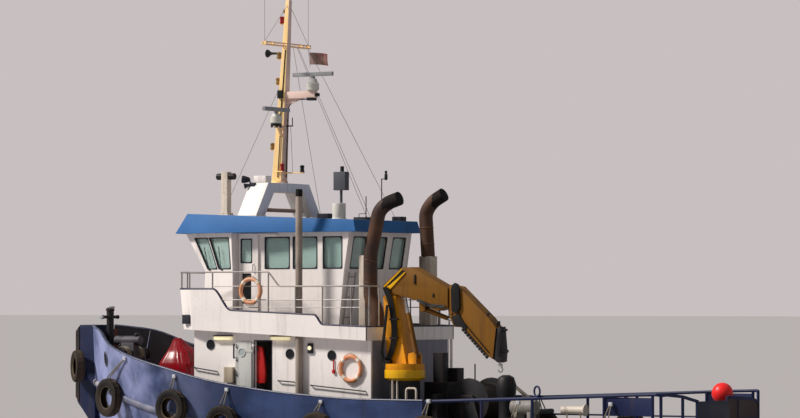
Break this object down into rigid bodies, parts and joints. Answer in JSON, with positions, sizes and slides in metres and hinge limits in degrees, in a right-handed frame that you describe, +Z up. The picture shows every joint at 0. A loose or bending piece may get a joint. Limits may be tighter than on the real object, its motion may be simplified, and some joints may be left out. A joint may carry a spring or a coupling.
{
  "type": "harbour tugboat with a knuckle-boom deck crane",
  "caption": "Steel harbour tugboat with a two-storey house, single mast, folding deck crane, tow winch and twin screws.",
  "frame": {"origin": "on the centreline, amidships, in the plane of the waterline", "axes": "+X to the bow, +Y to port, +Z up"},
  "size_m": [20.1887, 6.333, 15.45],
  "materials": {
    "hull_paint": "satin",
    "white_paint": "satin",
    "blue_paint": "satin",
    "crane_paint": "satin",
    "mast_paint": "satin",
    "black_paint": "satin",
    "grey_paint": "satin",
    "rusty_steel": "matte",
    "bright_steel": "polished",
    "bronze": "polished",
    "window_glass": "polished",
    "red_cover": "matte",
    "buoy_plastic": "gloss"
  },
  "bodies": {
    "boat": {"hull": "hull_paint", "bulwark_port": "hull_paint", "bulwark_starboard": "hull_paint", "pusher_knee": "hull_paint", "main_engines": "grey_paint", "bow_bitt": "black_paint", "deckhouse_port_wall": "white_paint", "deckhouse_starboard_wall": "white_paint", "deckhouse_front_wall": "white_paint", "deckhouse_aft_wall": "white_paint", "deckhouse_floor": "grey_paint", "bridge_bulwark": "white_paint", "bridge_deck": "white_paint", "wheelhouse_port_wall": "white_paint", "wheelhouse_starboard_wall": "white_paint", "wheelhouse_front_wall": "white_paint", "wheelhouse_aft_wall": "white_paint", "glass_port": "window_glass", "glass_starboard": "window_glass", "glass_front": "window_glass", "glass_aft": "window_glass", "wheelhouse_roof": "blue_paint", "helm_station": "grey_paint", "mast_gantry": "white_paint", "mast": "mast_paint", "lamp_post": "grey_paint", "satellite_post": "grey_paint", "vent_pipe": "white_paint", "exhaust_port": "rusty_steel", "exhaust_starboard": "rusty_steel", "bridge_rails": "white_paint", "aft_rails": "hull_paint", "stern_buoy": "buoy_plastic", "covered_windlass": "red_cover", "mooring_winch": "grey_paint", "crane_pedestal": "black_paint", "tow_winch_frame": "black_paint", "deck_tank": "white_paint"},
    "port_propeller": {"propeller_port": "bronze"},
    "starboard_propeller": {"propeller_starboard": "bronze"},
    "port_rudder": {"rudder_port": "hull_paint"},
    "starboard_rudder": {"rudder_starboard": "hull_paint"},
    "port_house_door": {"deckhouse_door_port": "white_paint"},
    "starboard_house_door": {"deckhouse_door_starboard": "white_paint"},
    "port_cabin_door": {"sliding_door_port": "white_paint"},
    "starboard_cabin_door": {"sliding_door_starboard": "white_paint"},
    "upper_radar": {"radar_scanner_upper": "white_paint"},
    "lower_radar": {"radar_scanner_lower": "white_paint"},
    "slewing_column": {"crane_column": "crane_paint"},
    "boom": {"crane_boom": "crane_paint"},
    "jib": {"crane_jib": "crane_paint"},
    "jib_extension": {"crane_extension": "black_paint"},
    "hook": {"crane_hook": "bright_steel"},
    "luff_barrel": {"luff_cylinder_barrel": "crane_paint"},
    "luff_rod": {"luff_cylinder_rod": "bright_steel"},
    "jib_barrel": {"jib_cylinder_barrel": "black_paint"},
    "jib_rod": {"jib_cylinder_rod": "bright_steel"},
    "winch_drum": {"tow_winch_drum": "black_paint"},
    "mooring_shaft": {"mooring_winch_shaft": "black_paint"},
    "capstan_head": {"capstan": "black_paint"}
  },
  "joints": [
    {"name": "propeller_port_spin", "type": "hinge", "parent": "boat", "child": "port_propeller", "pos_m": [-7.15, 1.15, -1.4], "axis": [1, 0, 0], "continuous": true},
    {"name": "propeller_starboard_spin", "type": "hinge", "parent": "boat", "child": "starboard_propeller", "pos_m": [-7.15, -1.15, -1.4], "axis": [1, 0, 0], "continuous": true},
    {"name": "rudder_port_turn", "type": "hinge", "parent": "boat", "child": "port_rudder", "pos_m": [-8.25, 1.15, -1.2], "axis": [0, 0, 1], "range_deg": [-35, 35]},
    {"name": "rudder_starboard_turn", "type": "hinge", "parent": "boat", "child": "starboard_rudder", "pos_m": [-8.25, -1.15, -1.2], "axis": [0, 0, 1], "range_deg": [-35, 35]},
    {"name": "house_door_port_swing", "type": "hinge", "parent": "boat", "child": "port_house_door", "pos_m": [2.82, 1.985, 2.4], "axis": [0, 0, 1], "range_deg": [0, 180]},
    {"name": "house_door_starboard_swing", "type": "hinge", "parent": "boat", "child": "starboard_house_door", "pos_m": [2.82, -1.985, 2.4], "axis": [0, 0, 1], "range_deg": [0, 180]},
    {"name": "cabin_door_port_slide", "type": "slide", "parent": "boat", "child": "port_cabin_door", "axis": [-1, 0, 0], "range_m": [0, 0.6]},
    {"name": "cabin_door_starboard_slide", "type": "slide", "parent": "boat", "child": "starboard_cabin_door", "axis": [-1, 0, 0], "range_m": [0, 0.6]},
    {"name": "radar_upper_spin", "type": "hinge", "parent": "boat", "child": "upper_radar", "pos_m": [2.22, 0, 10.65], "axis": [0, 0, 1], "continuous": true},
    {"name": "radar_lower_spin", "type": "hinge", "parent": "boat", "child": "lower_radar", "pos_m": [2.86, 0.84, 9.67], "axis": [0, 0, 1], "continuous": true},
    {"name": "crane_slew", "type": "hinge", "parent": "boat", "child": "slewing_column", "pos_m": [-1.7, 1.45, 2.8], "axis": [0, 0, 1], "range_deg": [-110, 80]},
    {"name": "boom_luff", "type": "hinge", "parent": "slewing_column", "child": "boom", "pos_m": [-1.34, 1.45, 4.86], "axis": [0, 1, 0], "range_deg": [-5, 55]},
    {"name": "jib_fold", "type": "hinge", "parent": "boom", "child": "jib", "pos_m": [-3.26, 1.45, 4.2], "axis": [0, 1, 0], "range_deg": [-60, 0]},
    {"name": "extension_slide", "type": "slide", "parent": "jib", "child": "jib_extension", "axis": [-0.7314, 0, -0.682], "range_m": [0, 0.9]},
    {"name": "hook_swing", "type": "hinge", "parent": "jib_extension", "child": "hook", "pos_m": [-4.65, 1.45, 2.965], "axis": [0, 1, 0], "range_deg": [-25, 25]},
    {"name": "luff_barrel_swing", "type": "hinge", "parent": "slewing_column", "child": "luff_barrel", "pos_m": [-2.06, 1.45, 3.06], "axis": [0, 1, 0], "range_deg": [-5, 2]},
    {"name": "luff_rod_slide", "type": "slide", "parent": "luff_barrel", "child": "luff_rod", "axis": [0.2249, 0, 0.9744], "range_m": [-0.04, 0.39]},
    {"name": "jib_barrel_swing", "type": "hinge", "parent": "boom", "child": "jib_barrel", "pos_m": [-2.32, 1.45, 4.29], "axis": [0, 1, 0], "range_deg": [-7, 1]},
    {"name": "jib_rod_slide", "type": "slide", "parent": "jib_barrel", "child": "jib_rod", "axis": [-0.9487, 0, -0.3162], "range_m": [-0.3, 0.01]},
    {"name": "winch_drum_spin", "type": "hinge", "parent": "boat", "child": "winch_drum", "pos_m": [-3.15, 0, 1.85], "axis": [0, 1, 0], "continuous": true},
    {"name": "mooring_winch_spin", "type": "hinge", "parent": "boat", "child": "mooring_shaft", "pos_m": [8.45, 0, 3.02], "axis": [0, 1, 0], "continuous": true},
    {"name": "capstan_spin", "type": "hinge", "parent": "boat", "child": "capstan_head", "pos_m": [-4.25, 0.5, 1.5], "axis": [0, 0, 1], "continuous": true}
  ],
  "couplings": [
    {"joint": "rudder_starboard_turn", "follows": "rudder_port_turn", "ratio": 1},
    {"joint": "luff_barrel_swing", "follows": "boom_luff", "ratio": -0.0689},
    {"joint": "luff_rod_slide", "follows": "boom_luff", "m_per_rad": 0.3978},
    {"joint": "jib_barrel_swing", "follows": "jib_fold", "ratio": 0.0934},
    {"joint": "jib_rod_slide", "follows": "jib_fold", "m_per_rad": 0.2755}
  ]
}
